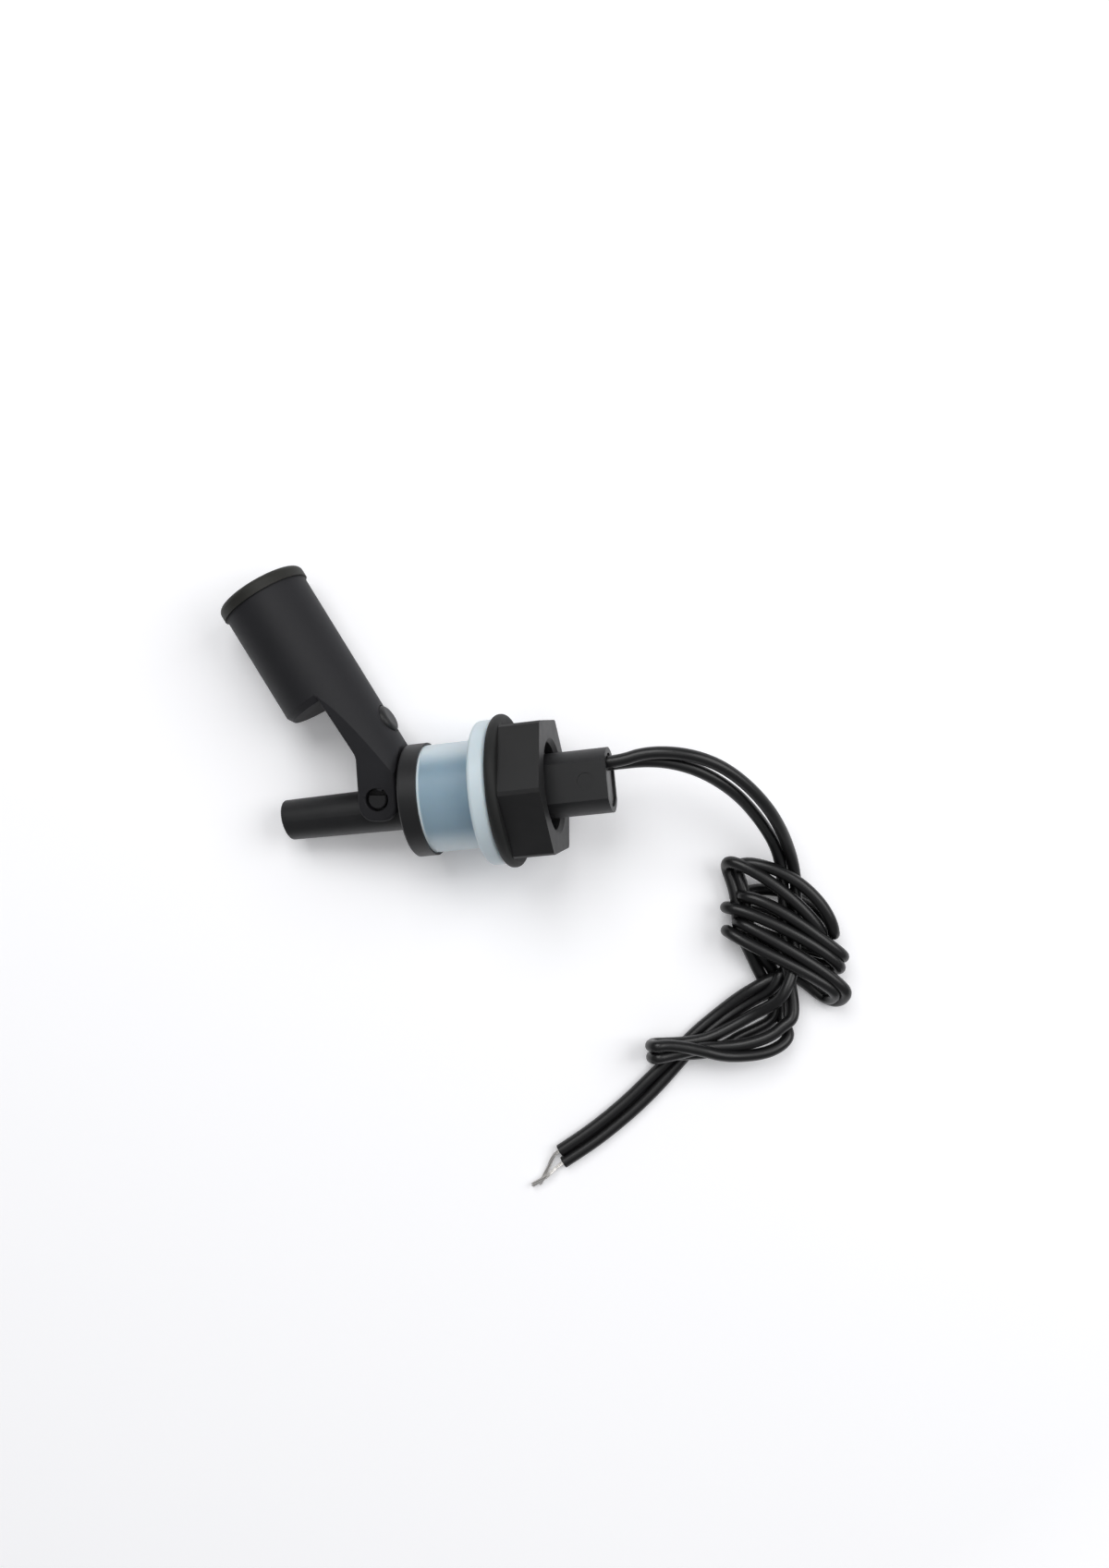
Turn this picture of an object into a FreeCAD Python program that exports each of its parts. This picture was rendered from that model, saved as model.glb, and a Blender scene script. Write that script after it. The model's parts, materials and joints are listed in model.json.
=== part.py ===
# Side-entry float level switch, lying on a flat surface as it comes to rest.
#
# The stem's own frame has +X along the stem towards the leads, +Y towards the raised
# float and +Z along the float's pivot, with X = 0 at the pivot. The float's own frame
# has +X out along the float, -Y at the back of its arm and its pivot at the origin.
# Everything is modelled there, then laid down: the stem rests on the rims of its front
# disc and its clamp washer and is rolled until the float touches the surface, z = 0.
# All sizes are in millimetres and all angles in degrees.
import FreeCAD, Part
import math
import os
from FreeCAD import Vector

# ---------------------------------------------------------------- stem housing
PROBE_TIP_RADIUS = 3.8
PROBE_ROOT_RADIUS = 4.15
PROBE_LENGTH = 19.9          # pivot to the middle of the probe's closed tip
PROBE_SLANT = 7.0            # tip is cut square to the line to the pivot, not to the probe
PROBE_OFFSET = 1.1           # probe axis below the stem axis
PROBE_EDGE = 0.4
DISC_FRONT = 5.2             # pivot to the front face of the disc
DISC_RADIUS = 10.45
DISC_THICKNESS = 2.6
DISC_LIP = 1.0               # rim that laps over the grommet
DISC_LIP_WALL = 0.4
DISC_EDGE = 0.3
THREAD_RADIUS = 8.0          # M16
THREAD_RELIEF = 2.0          # thread ends this far inside the nut
THREAD_CHAMFER = 0.8
TAIL_RADIUS = 5.95
TAIL_LENGTH = 10.4           # tail that stands out of the lock nut
TAIL_ACROSS_FLATS = 9.6
TAIL_FLAT_TURN = 8.0         # flats are turned from the pivot's direction
TAIL_FLAT_ROOT = 1.0         # round part left between the thread and the flats
GATE_MARK_RADIUS = 1.5
GATE_MARK_DEPTH = 0.15
GATE_MARK_FROM_END = 3.8

# ---------------------------------------------------------------- pivot
PIVOT_HEIGHT = 1.4           # pivot above the stem axis
TRUNNION_RADIUS = 1.75
TRUNNION_CHAMFER = 0.2
TRUNNION_FLAT = 0.75         # D flat above the trunnion's centre
TRUNNION_FLAT_TURN = 6.0     # flat leans towards the leads
TRUNNION_CLEARANCE = 0.4
TRUNNION_RECESS = 0.3        # trunnion's end below the ear's outer face
EAR_SIDE_CLEARANCE = 0.2
BOSS_RADIUS = 3.1

# ---------------------------------------------------------------- bores and potting
REED_BORE_RADIUS = 1.9
TIP_WALL = 1.3
WIRING_BORE_RADIUS = 5.0
WIRING_BORE_START = 9.0
TAIL_BORE_RADIUS = 4.9
TAIL_FLAT_WALL = 0.9
POTTING_DEPTH = 9.0
POTTING_CLEARANCE = 0.03

# ---------------------------------------------------------------- grommet, washer, nut
GROMMET_RADIUS = 9.95
GROMMET_BARREL = 10.1        # disc's lip to the flange's sealing face
FLANGE_RADIUS = 13.3
FLANGE_THICKNESS = 3.3
FLANGE_EDGE = 0.8
GROMMET_CLEARANCE = 0.06
WASHER_RADIUS = 14.1
WASHER_THICKNESS = 2.2
WASHER_EDGE = 1.0
NUT_ACROSS_FLATS = 24.0
NUT_THICKNESS = 7.5
NUT_TURN = -3.0
NUT_BEVEL = 0.45
NUT_BORE_CHAMFER = 0.7
BORE_CLEARANCE = 0.06

# ---------------------------------------------------------------- float and its arm
FLOAT_RADIUS = 8.25
FLOAT_START = 20.65          # pivot to the float's lower end
FLOAT_END = 43.1             # pivot to the open end that the cap closes
FLOAT_WALL = 1.2
FLOAT_FLOOR = 1.6
FLOAT_CHAMFER_LENGTH = 1.2
FLOAT_CHAMFER_DEPTH = 0.75
FLOAT_STOP_GAP = 0.3         # back of the arm to the disc's rim when raised
CAP_LIP_RADIUS = 8.65
CAP_THICKNESS = 2.4
CAP_EDGE = 1.1
CAP_SPIGOT = 1.8
CAP_SPIGOT_WALL = 1.2
CAP_CLEARANCE = 0.05
ARM_HALF_THICKNESS = 6.1     # at the pivot; the sides flare out to the float
ARM_EDGE = 0.6
ARM_INNER_EDGE = 1.0         # inner edge of the arm behind the float's axis
ARM_BEND_RADIUS = 3.0
ARM_BACK_RADIUS = 2.0
EAR_HALF_WIDTH = 3.6
EAR_BOTTOM = 4.1
EAR_CORNER_RADIUS = 2.9
EAR_LEAN = 31.0              # ears lean back from the float's axis
EAR_INNER = 4.4              # half the slot that the probe swings in
EAR_SLOT_TOP = 5.4
CRADLE_CLEARANCE = 0.3       # groove in the arm around the folded probe
HOLE_CHAMFER = 0.15
KEY_DEPTH = 0.4              # key in each ear's hole, beside the trunnion's flat
KEY_WIDTH = 1.0
KEY_TURN = 48.0              # key back from the float's axis
MAGNET_RADIUS = 2.0
MAGNET_LENGTH = 4.6
MAGNET_CLEARANCE = 0.05
COVER_RADIUS = 2.8
COVER_THICKNESS = 1.5
COVER_PROUD = 0.5
COVER_EDGE = 1.0

# ---------------------------------------------------------------- reed switch
GLASS_RADIUS = 1.1
GLASS_LENGTH = 10.0
GLASS_WALL = 0.25
GLASS_SEAL = 2.0
GLASS_OFFSET = 0.55          # glass below the probe's axis
LEAD_RADIUS = 0.25
LEAD_CLEARANCE = 0.03
BLADE_WIDTH = 1.0
BLADE_THICKNESS = 0.2
BLADE_GAP = 0.06
BLADE_OVERLAP = 1.0
RETURN_OFFSET = 1.75         # folded lead above the glass's axis
REED_TIP_GAP = 0.15          # folded lead to the probe's closed end

# ---------------------------------------------------------------- wires inside the stem
WIRE_RADIUS = 1.15
WIRE_A_PLACE = (3.3, 1.3)    # (Y, Z) in the stem frame
WIRE_B_PLACE = (2.7, -1.3)
SLEEVE_WALL = 0.2
SLEEVE_CLEARANCE = 0.03
SLEEVE_LENGTH = 7.0
SLEEVE_LEAD = 4.0            # length of reed lead inside its sleeve
SLEEVE_A_START = 13.0
SLEEVE_B_START = 20.8
POTTING_RECESS = 0.4
LEAD_FOLD = 1.2
LEAD_SLOPE = 2.6
LEAD_SLOPE_END = 0.4
BLADE_ROOT = 0.4

# ---------------------------------------------------------------- free wires, laid frame
TIP_RADIUS = 0.4
TIP_STRAIGHT = 1.2           # straight stretch of bare strands past the insulation
EXIT_STRAIGHT = 2.4          # straight stretch of a wire outside the potting
RUN_A = [
    (39.7, -11.8, 20.2),
    (44.5, -12.1, 20.6),
    (49.4, -13.4, 20.2),
    (54.0, -15.8, 19.0),
    (58.2, -19.5, 17.1),
    (61.8, -24.0, 14.6),
    (64.2, -28.2, 11.3),
    (65.8, -31.9, 7.9),
    (66.8, -35.5, 5.6),
    (67.0, -39.8, 4.9),
]
RUN_B = [
    (40.1, -13.1, 17.9),
    (44.2, -14.0, 18.6),
    (48.4, -15.7, 18.6),
    (52.3, -18.1, 17.5),
    (56.2, -21.4, 15.3),
    (59.5, -25.3, 12.1),
    (62.0, -29.2, 8.7),
    (63.4, -32.5, 6.2),
    (64.2, -36.0, 5.0),
    (64.5, -40.0, 4.9),
]
TAIL_A = [
    (45.0, -66.5, 1.2),
    (40.5, -70.1, 1.15),
    (35.8, -73.6, 1.2),
    (31.3, -77.2, 1.15),
    (26.8, -80.2, 1.15),
    (22.0, -83.1, 1.2),
    (16.9, -85.7, 1.15),
]
TAIL_B = [
    (46.3, -68.2, 1.2),
    (41.9, -72.3, 1.15),
    (37.3, -75.7, 1.2),
    (32.8, -79.3, 1.15),
    (28.1, -82.6, 1.15),
    (23.0, -85.8, 1.2),
    (17.6, -88.4, 1.15),
]
TIP_A = [
    (14.5, -88.9, 0.8),
    (12.6, -91.9, 0.45),
]
TIP_B = [
    (14.0, -90.4, 1.7),
    (11.2, -91.9, 1.1),
]
HANK_OUTLINE = [
    (52.8, -32.2),
    (65.2, -34.8),
    (70.2, -39.2),
    (74.8, -45.6),
    (76.1, -54.4),
    (76.8, -62.2),
    (74.4, -65.2),
    (66.0, -60.8),
    (55.2, -52.8),
    (51.4, -47.4),
    (51.4, -41.4),
]
HANK_HEIGHT = 9.0
HANK_CORNER = 2.2
HANK_EDGE = 1.4
LOOP_OUTLINE = [
    (57.0, -51.0),
    (66.0, -55.4),
    (65.6, -62.0),
    (64.8, -66.6),
    (62.4, -71.0),
    (57.0, -72.4),
    (49.0, -71.6),
    (42.6, -70.6),
    (35.0, -71.2),
    (35.0, -64.5),
    (43.2, -64.9),
    (53.6, -58.0),
]
LOOP_HEIGHT = 8.2
LOOP_CORNER = 1.8
LOOP_EDGE = 1.0

# ---------------------------------------------------------------- derived places
DISC_BACK = DISC_FRONT + DISC_THICKNESS
LIP_END = DISC_BACK + DISC_LIP
FLANGE_FACE = LIP_END + GROMMET_BARREL
WASHER_FRONT = FLANGE_FACE + FLANGE_THICKNESS
NUT_FRONT = WASHER_FRONT + WASHER_THICKNESS
NUT_REAR = NUT_FRONT + NUT_THICKNESS
THREAD_END = NUT_REAR - THREAD_RELIEF
TAIL_END = NUT_REAR + TAIL_LENGTH
POTTING_START = TAIL_END - POTTING_DEPTH
GLASS_MIDDLE = -PROBE_LENGTH + TIP_WALL + REED_TIP_GAP + LEAD_RADIUS + LEAD_FOLD + GLASS_LENGTH / 2
MAGNET_PLACE = -GLASS_MIDDLE  # pivot to the magnet, beside the reed's middle when folded
TRUNNION_END = ARM_HALF_THICKNESS - TRUNNION_RECESS
X_AXIS = Vector(1, 0, 0)
Y_AXIS = Vector(0, 1, 0)
Z_AXIS = Vector(0, 0, 1)
PIVOT = Vector(0, PIVOT_HEIGHT, 0)
MOST_TILT = 30.0
MOST_ROLL = 20.0


# ---------------------------------------------------------------- small tools
def rod(radius, start, end, y=0.0, z=0.0):
    """Cylinder along X."""
    return Part.makeCylinder(radius, end - start, Vector(start, y, z), X_AXIS)


def pin(radius, start, end, x=0.0, y=0.0):
    """Cylinder along Z."""
    return Part.makeCylinder(radius, end - start, Vector(x, y, start), Z_AXIS)


def turned(points):
    """Solid of revolution about X from (x, radius) corners."""
    corners = [Vector(x, radius, 0) for x, radius in points]
    face = Part.Face(Part.makePolygon(corners + corners[:1]))
    return face.revolve(Vector(0, 0, 0), X_AXIS, 360)


def half_space(origin, normal, size=120.0):
    """Large block on the side of a plane that its normal points to."""
    block = Part.makeBox(size, size, size, Vector(-size / 2, -size / 2, 0))
    block.Placement = FreeCAD.Placement(origin, FreeCAD.Rotation(Z_AXIS, normal))
    return block


def rounded_outline(corners):
    """Closed wire in the XY plane from (x, y, radius) corners."""
    points = [Vector(x, y, 0) for x, y, radius in corners]
    edges = []
    ends = []
    for index, (x, y, radius) in enumerate(corners):
        corner = points[index]
        back = (points[index - 1] - corner).normalize()
        ahead = (points[(index + 1) % len(points)] - corner).normalize()
        half = back.getAngle(ahead) / 2
        reach = radius / math.tan(half)
        start = corner + back * reach
        end = corner + ahead * reach
        if radius > 0:
            centre = corner + (back + ahead).normalize() * (radius / math.sin(half))
            middle = centre + (corner - centre).normalize() * radius
            ends.append((start, Part.Arc(start, middle, end).toShape(), end))
        else:
            ends.append((corner, None, corner))
    for index, (start, arc, end) in enumerate(ends):
        if arc:
            edges.append(arc)
        following = ends[(index + 1) % len(ends)][0]
        edges.append(Part.makeLine(end, following))
    return Part.Wire(edges)


def edges_at(shape, test):
    """Edges whose middle point passes a test."""
    return [edge for edge in shape.Edges if test(edge.CenterOfMass)]


# ---------------------------------------------------------------- stem housing
def probe():
    """Drafted blind tube that holds the reed switch."""
    root = DISC_FRONT + DISC_THICKNESS / 2
    spare = 2.0
    draft = (PROBE_ROOT_RADIUS - PROBE_TIP_RADIUS) / (PROBE_LENGTH + root)
    start = -PROBE_LENGTH - spare
    base = Vector(start, -PROBE_OFFSET, 0)
    cone = Part.makeCone(PROBE_TIP_RADIUS - draft * spare, PROBE_ROOT_RADIUS, root - start, base, X_AXIS)
    slant = math.radians(PROBE_SLANT)
    outward = Vector(-math.cos(slant), -math.sin(slant), 0)
    cone = cone.cut(half_space(Vector(-PROBE_LENGTH, -PROBE_OFFSET, 0), outward))
    tip_edges = edges_at(cone, lambda point: point.x < -PROBE_LENGTH + PROBE_TIP_RADIUS / 2
                         and abs(point.y + PROBE_OFFSET) < PROBE_TIP_RADIUS / 2)
    return cone.makeFillet(PROBE_EDGE, tip_edges)


def disc_and_shank():
    """Front disc with its lip, threaded shank and round tail, all turned about X."""
    lip_radius = DISC_RADIUS - DISC_LIP_WALL
    return turned([
        (DISC_FRONT, 0),
        (DISC_FRONT, DISC_RADIUS - DISC_EDGE),
        (DISC_FRONT + DISC_EDGE, DISC_RADIUS),
        (LIP_END, DISC_RADIUS),
        (LIP_END, lip_radius),
        (DISC_BACK, lip_radius),
        (DISC_BACK, THREAD_RADIUS),
        (THREAD_END - THREAD_CHAMFER, THREAD_RADIUS),
        (THREAD_END, THREAD_RADIUS - THREAD_CHAMFER),
        (THREAD_END, TAIL_RADIUS),
        (TAIL_END, TAIL_RADIUS),
        (TAIL_END, 0),
    ])


def tail_flats():
    """Two slabs that cut the spanner flats, with a round gate mark under one."""
    start = THREAD_END + TAIL_FLAT_ROOT
    half = TAIL_ACROSS_FLATS / 2
    slab = Part.makeBox(TAIL_END - start + 1, 4 * half, 2 * half, Vector(start, -2 * half, half))
    other = slab.copy()
    other.rotate(Vector(0, 0, 0), X_AXIS, 180)
    mark = pin(GATE_MARK_RADIUS, half - GATE_MARK_DEPTH, half + 1, TAIL_END - GATE_MARK_FROM_END)
    cuts = slab.fuse([other, mark])
    cuts.rotate(Vector(0, 0, 0), X_AXIS, -TAIL_FLAT_TURN)
    return cuts


def tail_cavity(clearance, start, end):
    """Room in the tail: a round bore with two flats that follow the spanner flats."""
    half = TAIL_ACROSS_FLATS / 2 - TAIL_FLAT_WALL - clearance
    bore = rod(TAIL_BORE_RADIUS - clearance, start, end)
    slab = Part.makeBox(end - start, 4 * TAIL_RADIUS, 2 * half, Vector(start, -2 * TAIL_RADIUS, -half))
    slab.rotate(Vector(0, 0, 0), X_AXIS, -TAIL_FLAT_TURN)
    return bore.common(slab)


def trunnion(side):
    """Boss and D-shaped trunnion on one side of the probe."""
    boss_end = EAR_INNER - EAR_SIDE_CLEARANCE
    boss = pin(BOSS_RADIUS, PROBE_TIP_RADIUS / 2, boss_end, 0, PIVOT_HEIGHT)
    stub = pin(TRUNNION_RADIUS, PROBE_TIP_RADIUS / 2, TRUNNION_END, 0, PIVOT_HEIGHT)
    rim = edges_at(stub, lambda point: point.z > TRUNNION_END - 0.01)
    stub = stub.makeChamfer(TRUNNION_CHAMFER, rim)
    turn = math.radians(TRUNNION_FLAT_TURN)
    facing = Vector(math.sin(turn), math.cos(turn), 0)
    flat = half_space(PIVOT + facing * TRUNNION_FLAT, facing)
    flat = flat.common(pin(2 * TRUNNION_RADIUS, boss_end, TRUNNION_END + 1, 0, PIVOT_HEIGHT))
    piece = boss.fuse(stub.cut(flat))
    if side < 0:
        piece = piece.mirror(Vector(0, 0, 0), Z_AXIS)
    return piece


def stem_housing():
    """One moulding: probe, pivot, disc, threaded shank and tail."""
    body = disc_and_shank().cut(tail_flats())
    body = body.fuse([probe(), trunnion(1), trunnion(-1)])
    reed_bore = rod(REED_BORE_RADIUS, -PROBE_LENGTH + TIP_WALL, WIRING_BORE_START + 1, -PROBE_OFFSET)
    wiring_bore = rod(WIRING_BORE_RADIUS, WIRING_BORE_START, THREAD_END - 2 * THREAD_CHAMFER)
    cavity = tail_cavity(0, THREAD_END - 3 * THREAD_CHAMFER, TAIL_END + 1)
    return body.cut([reed_bore, wiring_bore, cavity]).removeSplitter()


# ---------------------------------------------------------------- clamped stack
def grommet():
    """Silicone bung: barrel in the wall's hole and a flange outside it."""
    bore = THREAD_RADIUS + GROMMET_CLEARANCE
    bung = turned([
        (DISC_BACK, bore),
        (DISC_BACK, GROMMET_RADIUS),
        (FLANGE_FACE, GROMMET_RADIUS),
        (FLANGE_FACE, FLANGE_RADIUS),
        (WASHER_FRONT, FLANGE_RADIUS),
        (WASHER_FRONT, bore),
    ])
    rims = edges_at(bung, lambda point: point.x > FLANGE_FACE - 0.1)
    rims = [edge for edge in rims if edge.BoundBox.YMax > FLANGE_RADIUS - 0.1]
    rims = [edge for edge in rims if edge.BoundBox.XLength < 0.1]
    return bung.makeFillet(FLANGE_EDGE, rims)


def clamp_washer():
    """Nylon washer with rounded edges."""
    bore = THREAD_RADIUS + BORE_CLEARANCE
    washer = rod(WASHER_RADIUS, WASHER_FRONT, NUT_FRONT).cut(rod(bore, WASHER_FRONT - 1, NUT_FRONT + 1))
    rims = [edge for edge in washer.Edges
            if edge.BoundBox.YMax > WASHER_RADIUS - 0.1 and edge.BoundBox.XLength < 0.1]
    return washer.makeFillet(WASHER_EDGE, rims)


def lock_nut():
    """Hexagon nut with bevelled corners and a chamfered bore."""
    corner = NUT_ACROSS_FLATS / 2 / math.cos(math.radians(30))
    points = []
    for index in range(6):
        angle = math.radians(90 + NUT_TURN + 60 * index)
        points.append(Vector(NUT_FRONT, corner * math.cos(angle), corner * math.sin(angle)))
    hexagon = Part.Face(Part.makePolygon(points + points[:1])).extrude(X_AXIS * NUT_THICKNESS)
    long_edges = [edge for edge in hexagon.Edges if edge.BoundBox.XLength > NUT_THICKNESS / 2]
    hexagon = hexagon.makeChamfer(NUT_BEVEL, long_edges)
    bore = THREAD_RADIUS + BORE_CLEARANCE
    mouth = bore + NUT_BORE_CHAMFER
    hole = turned([
        (NUT_FRONT - 1, 0),
        (NUT_FRONT - 1, mouth + 1),
        (NUT_FRONT + NUT_BORE_CHAMFER, bore),
        (NUT_REAR - NUT_BORE_CHAMFER, bore),
        (NUT_REAR + 1, mouth + 1),
        (NUT_REAR + 1, 0),
    ])
    return hexagon.cut(hole)


# ---------------------------------------------------------------- float, in its own frame
def float_shell():
    """Hollow cylinder, open at its outer end."""
    inner = FLOAT_RADIUS - FLOAT_WALL
    return turned([
        (FLOAT_START, 0),
        (FLOAT_START, FLOAT_RADIUS - FLOAT_CHAMFER_DEPTH),
        (FLOAT_START + FLOAT_CHAMFER_LENGTH, FLOAT_RADIUS),
        (FLOAT_END, FLOAT_RADIUS),
        (FLOAT_END, inner),
        (FLOAT_START + FLOAT_FLOOR, inner),
        (FLOAT_START + FLOAT_FLOOR, 0),
    ])


def ear_point(along, across):
    """Point at a distance along the ears and across them towards the front."""
    lean = math.radians(EAR_LEAN)
    x = along * math.cos(lean) + across * math.sin(lean)
    y = -along * math.sin(lean) + across * math.cos(lean)
    return x, y


def ear_reach(across, y):
    """Distance along the ears at which one of their edges comes to a given y."""
    lean = math.radians(EAR_LEAN)
    return (across * math.cos(lean) - y) / math.sin(lean)


def arm_outline():
    """Side view of the ears and the arm up to the float."""
    top = FLOAT_START + FLOAT_FLOOR / 2
    inner = -ARM_INNER_EDGE
    back = -FLOAT_RADIUS
    bend = ear_point(ear_reach(EAR_HALF_WIDTH, inner), EAR_HALF_WIDTH)
    heel = ear_point(ear_reach(-EAR_HALF_WIDTH, back), -EAR_HALF_WIDTH)
    front_bottom = ear_point(-EAR_BOTTOM, EAR_HALF_WIDTH)
    back_bottom = ear_point(-EAR_BOTTOM, -EAR_HALF_WIDTH)
    return rounded_outline([
        (top, inner, 0),
        (*bend, ARM_BEND_RADIUS),
        (*front_bottom, EAR_CORNER_RADIUS),
        (*back_bottom, EAR_CORNER_RADIUS),
        (*heel, ARM_BACK_RADIUS),
        (top, back, 0),
    ])


def arm_sides():
    """Room between the arm's two sides, which flare evenly from the pivot to the float."""
    top = FLOAT_START + FLOAT_FLOOR
    low = -2 * EAR_BOTTOM
    narrow = ARM_HALF_THICKNESS + (FLOAT_RADIUS - ARM_HALF_THICKNESS) * low / top
    corners = [(low, narrow), (top, FLOAT_RADIUS), (top, -FLOAT_RADIUS), (low, -narrow)]
    points = [Vector(x, -2 * FLOAT_RADIUS, z) for x, z in corners]
    return Part.Face(Part.makePolygon(points + points[:1])).extrude(Y_AXIS * 4 * FLOAT_RADIUS)


def arm():
    """Arm and ears: an outline between two sides, trimmed to the float's own cylinder."""
    blank = Part.Face(arm_outline()).extrude(Z_AXIS * 2 * FLOAT_RADIUS)
    blank.translate(Z_AXIS * -FLOAT_RADIUS)
    blank = blank.common(arm_sides())
    rims = [edge for edge in blank.Edges
            if edge.BoundBox.ZLength < ARM_HALF_THICKNESS and edge.BoundBox.XLength > 0.01]
    blank = blank.makeFillet(ARM_EDGE, rims)
    return blank.common(rod(FLOAT_RADIUS, -2 * EAR_BOTTOM, FLOAT_START + FLOAT_FLOOR))


def probe_room():
    """Slot between the ears and the cradle that the folded probe lies in."""
    size = EAR_SLOT_TOP + 3 * EAR_BOTTOM
    slot = Part.makeBox(size, 2 * size, 2 * EAR_INNER, Vector(EAR_SLOT_TOP - size, -size, -EAR_INNER))
    slot.rotate(Vector(0, 0, 0), Z_AXIS, -EAR_LEAN)
    axis = PIVOT_HEIGHT + PROBE_OFFSET
    cradle = rod(PROBE_ROOT_RADIUS + CRADLE_CLEARANCE, -EAR_BOTTOM, FLOAT_START, axis)
    return slot.fuse(cradle)


def ear_holes():
    """Trunnion holes, countersunk on their outer faces and keyed on one side."""
    radius = TRUNNION_RADIUS + TRUNNION_CLEARANCE
    face = ARM_HALF_THICKNESS
    hole = pin(radius, -face - 1, face + 1)
    sink = Part.makeCone(radius, radius + 2 * HOLE_CHAMFER, 2 * HOLE_CHAMFER, Vector(0, 0, face - HOLE_CHAMFER))
    key = Part.makeBox(2 * radius, KEY_WIDTH, 2 * face, Vector(radius - KEY_DEPTH, -KEY_WIDTH / 2, -face))
    key.rotate(Vector(0, 0, 0), Z_AXIS, -KEY_TURN)
    return hole.fuse([sink, sink.mirror(Vector(0, 0, 0), Z_AXIS)]).cut(key)


def back_plug(radius, depth, height):
    """Cylinder across the arm at the magnet, measured in from the arm's back."""
    return Part.makeCylinder(radius, height, Vector(MAGNET_PLACE, -FLOAT_RADIUS + depth - height, 0), Y_AXIS)


def magnet_depth():
    """Depth of the magnet's outer face below the back of the arm."""
    return COVER_THICKNESS - COVER_PROUD


def float_arm():
    """One moulding: hollow float, arm and ears."""
    body = float_shell().fuse(arm().cut(probe_room()))
    seat = magnet_depth()
    pocket_length = MAGNET_LENGTH + 2 * MAGNET_CLEARANCE
    pocket = back_plug(MAGNET_RADIUS + MAGNET_CLEARANCE, seat + pocket_length, pocket_length)
    recess = back_plug(COVER_RADIUS + MAGNET_CLEARANCE, seat, seat + 1)
    return body.cut([ear_holes(), pocket, recess]).removeSplitter()


def float_cap():
    """Welded end cap with a lip and a spigot in the float's mouth."""
    inner = FLOAT_RADIUS - FLOAT_WALL - CAP_CLEARANCE
    cap = rod(CAP_LIP_RADIUS, FLOAT_END, FLOAT_END + CAP_THICKNESS)
    rim = edges_at(cap, lambda point: point.x > FLOAT_END + CAP_THICKNESS - 0.1)
    cap = cap.makeFillet(CAP_EDGE, rim)
    spigot = rod(inner, FLOAT_END - CAP_SPIGOT, FLOAT_END)
    hollow = rod(inner - CAP_SPIGOT_WALL, FLOAT_END - CAP_SPIGOT - 1, FLOAT_END)
    return cap.fuse(spigot.cut(hollow)).removeSplitter()


def magnet():
    """Round magnet in the arm's pocket."""
    return back_plug(MAGNET_RADIUS, magnet_depth() + MAGNET_CLEARANCE + MAGNET_LENGTH, MAGNET_LENGTH)


def magnet_cover():
    """Domed plug over the magnet that stands a little proud of the arm's back."""
    cover = back_plug(COVER_RADIUS, magnet_depth(), COVER_THICKNESS)
    outer = -FLOAT_RADIUS - COVER_PROUD
    rim = edges_at(cover, lambda point: abs(point.y - outer) < 0.01)
    return cover.makeFillet(COVER_EDGE, rim)


# ---------------------------------------------------------------- placing
def into_stem_frame(shape, raised):
    """Float-frame shape turned to its raised angle at the pivot."""
    placed = shape.copy()
    placed.rotate(Vector(0, 0, 0), Z_AXIS, 180 - raised)
    placed.translate(PIVOT)
    return placed


def raised_angle():
    """Angle from the probe at which the arm's back nears the disc's rim."""
    rim_x = DISC_FRONT
    rim_y = DISC_RADIUS - PIVOT_HEIGHT
    reach = math.hypot(rim_x, rim_y)
    lead = math.atan2(rim_x, rim_y)
    return math.degrees(lead + math.acos((FLOAT_RADIUS + FLOAT_STOP_GAP) / reach))


def laid(shape, tilt, roll):
    """Stem-frame shape rolled about the stem, then tilted with the leads' end up."""
    placed = shape.copy()
    placed.rotate(Vector(0, 0, 0), X_AXIS, roll)
    placed.rotate(Vector(0, 0, 0), Y_AXIS, -tilt)
    return placed


def lowest(shape, tilt, roll):
    """Lowest point of a shape once laid."""
    return laid(shape, tilt, roll).optimalBoundingBox(False, False).ZMin


def balance(difference, low, high):
    """Angle between two limits at which a rising difference passes zero."""
    for step in range(24):
        middle = (low + high) / 2
        if difference(middle) < 0:
            low = middle
        else:
            high = middle
    return (low + high) / 2


# ---------------------------------------------------------------- wires and reed leads
def bent_tube(points, radius, label=""):
    """Round tube along straight runs joined by tangent arcs."""
    path = [Vector(*point) for point in points]
    runs = [(after - before).Length for before, after in zip(path, path[1:])]
    edges = []
    radii = []
    start = path[0]
    for index in range(1, len(path) - 1):
        corner = path[index]
        back = (path[index - 1] - corner).normalize()
        ahead = (path[index + 1] - corner).normalize()
        half_turn = (math.pi - back.getAngle(ahead)) / 2
        reach = 0.45 * min(runs[index - 1], runs[index])
        bend = reach / math.tan(half_turn)
        first = corner + back * reach
        last = corner + ahead * reach
        centre = corner + (back + ahead).normalize() * math.hypot(bend, reach)
        middle = centre + (corner - centre).normalize() * bend
        edges.append(Part.LineSegment(start, first).toShape())
        edges.append(Part.Arc(first, middle, last).toShape())
        radii.append(round(bend, 1))
        start = last
    edges.append(Part.LineSegment(start, path[-1]).toShape())
    wire = Part.Wire(edges)
    section = Part.Wire(Part.makeCircle(radius, path[0], path[1] - path[0]))
    tube = wire.makePipeShell([section], True, False)
    expected = math.pi * radius * radius * wire.Length
    print(label, "length", round(wire.Length, 1), "radii", radii, "volume ratio", round(tube.Volume / expected, 4))
    return tube


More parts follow.
